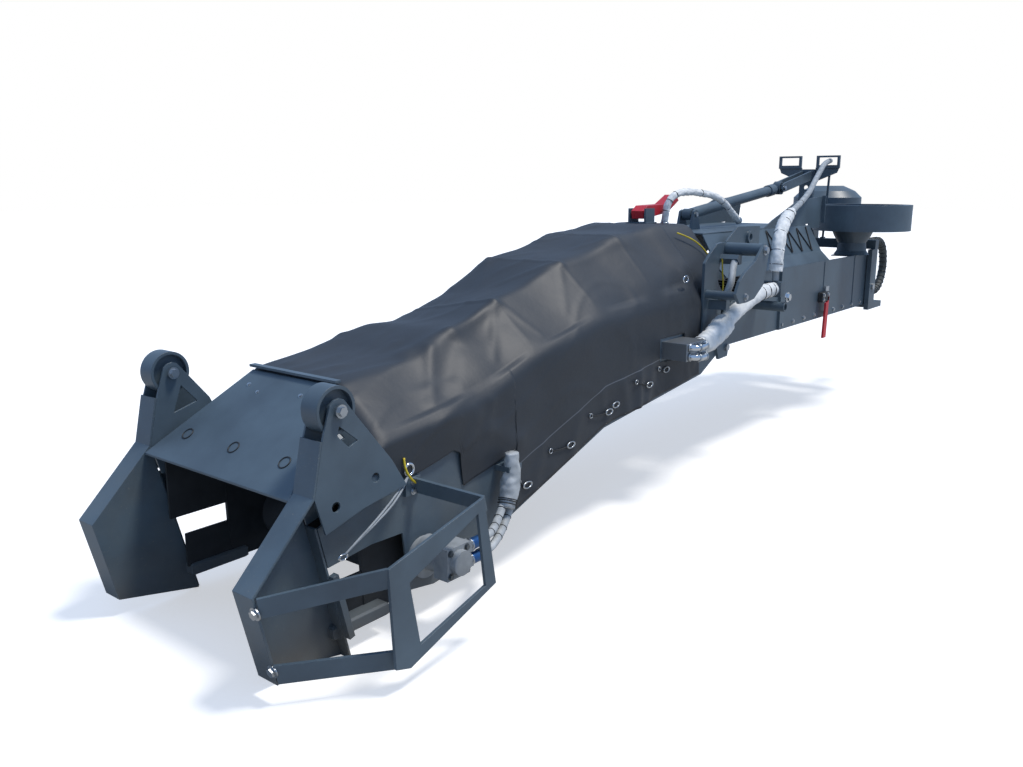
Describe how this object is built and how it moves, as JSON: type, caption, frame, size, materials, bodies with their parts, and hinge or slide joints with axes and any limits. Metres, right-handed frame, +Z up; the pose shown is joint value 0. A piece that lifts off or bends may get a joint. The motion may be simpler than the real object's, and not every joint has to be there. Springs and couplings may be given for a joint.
{
  "type": "folding discharge conveyor of a cold planer",
  "caption": "Folding discharge conveyor of a cold planer: belt frame hinged in two, tarpaulin cover, discharge hood with wings and guide rollers, slewing yoke with lifting cylinder.",
  "frame": {"origin": "centre of the lower slew lug's underside, on the vertical slew axis", "axes": "+X towards the discharge end, +Y the side of the drive motor, +Z up"},
  "size_m": [6.5539, 1.532, 1.877],
  "materials": {
    "slate_paint": "satin",
    "tarpaulin": "coated",
    "belt_rubber": "matte",
    "zinc": "satin",
    "chrome_rod": "polished",
    "red_paint": "satin",
    "cast_motor": "cast",
    "drum_steel": "worn",
    "roller_rubber": "matte",
    "hose_sleeve": "woven"
  },
  "bodies": {
    "slew_bracket": {"slew_yoke": "slate_paint", "slew_head": "slate_paint", "mast_post": "slate_paint", "mast_pin": "zinc", "hose_loops": "slate_paint", "mast_strut": "slate_paint", "luff_pins": "zinc", "hose_tail": "roller_rubber"},
    "rear_section": {"rear_frame": "slate_paint", "rear_cover_near": "slate_paint", "rear_cover_far": "slate_paint", "rear_top_cover": "slate_paint", "hopper_fins": "slate_paint", "belt_rear": "belt_rubber", "tail_drum": "drum_steel", "idlers_rear": "drum_steel", "fan_neck": "slate_paint", "fan_housing": "slate_paint", "fold_pins": "zinc", "fold_tubes_rear": "slate_paint", "luff_lugs": "slate_paint", "luff_base_pin": "zinc", "latch_box": "zinc", "latch_handle": "red_paint", "fold_cheeks": "slate_paint", "hose_mast": "hose_sleeve"},
    "front_section": {"front_frame": "slate_paint", "fold_plates_front": "slate_paint", "fold_guard_plate": "slate_paint", "belt_front": "belt_rubber", "turn_roller": "drum_steel", "head_drum": "drum_steel", "idlers_front": "drum_steel", "tarp_cover": "tarpaulin", "arch_sheet": "tarpaulin", "hood_plate": "slate_paint", "wing_near": "slate_paint", "wing_far": "slate_paint", "roller_fork_near": "slate_paint", "roller_fork_far": "slate_paint", "roller_pin_near": "zinc", "roller_pin_far": "zinc", "drive_motor": "cast_motor", "motor_guard": "slate_paint", "lock_bracket": "slate_paint", "tarp_bar": "slate_paint", "hose_bundle": "hose_sleeve", "hose_arch": "hose_sleeve", "hose_motor_a": "hose_sleeve", "hose_motor_b": "hose_sleeve"},
    "lock_link": {"lock_link": "red_paint"},
    "guide_roller_near": {"guide_roller_near": "slate_paint"},
    "guide_roller_far": {"guide_roller_far": "slate_paint"},
    "luff_barrel": {"luff_barrel": "slate_paint"},
    "luff_rod": {"luff_rod": "chrome_rod", "luff_eye": "slate_paint"}
  },
  "joints": [
    {"name": "luff", "type": "hinge", "parent": "slew_bracket", "child": "rear_section", "pos_m": [0.365, 0, 0.18], "axis": [0, -1, 0], "range_deg": [-20, 3], "deforming": ["hose_mast"]},
    {"name": "fold", "type": "hinge", "parent": "rear_section", "child": "front_section", "pos_m": [2.88, 0, 0.04], "axis": [0, 1, 0], "range_deg": [0, 115], "deforming": ["hose_bundle"]},
    {"name": "lock_link_turn", "type": "hinge", "parent": "front_section", "child": "lock_link", "pos_m": [3.015, 0, 0.805], "axis": [0, 1, 0], "range_deg": [0, 60]},
    {"name": "guide_roller_near_spin", "type": "hinge", "parent": "front_section", "child": "guide_roller_near", "pos_m": [5.822, 0.4985, 0.239], "axis": [0, 1, 0], "continuous": true},
    {"name": "guide_roller_far_spin", "type": "hinge", "parent": "front_section", "child": "guide_roller_far", "pos_m": [5.822, -0.4985, 0.239], "axis": [0, 1, 0], "continuous": true},
    {"name": "luff_barrel_swing", "type": "hinge", "parent": "rear_section", "child": "luff_barrel", "pos_m": [2.43, 0, 0.78], "axis": [0, 1, 0], "range_deg": [-0.9, 5.4]},
    {"name": "luff_rod_slide", "type": "slide", "parent": "luff_barrel", "child": "luff_rod", "axis": [-0.9935, 0, 0.1135], "range_m": [-0.055, 0.325]}
  ],
  "couplings": [
    {"joint": "luff_barrel_swing", "follows": "luff", "ratio": -0.267},
    {"joint": "luff_rod_slide", "follows": "luff", "m_per_rad": -0.918}
  ]
}
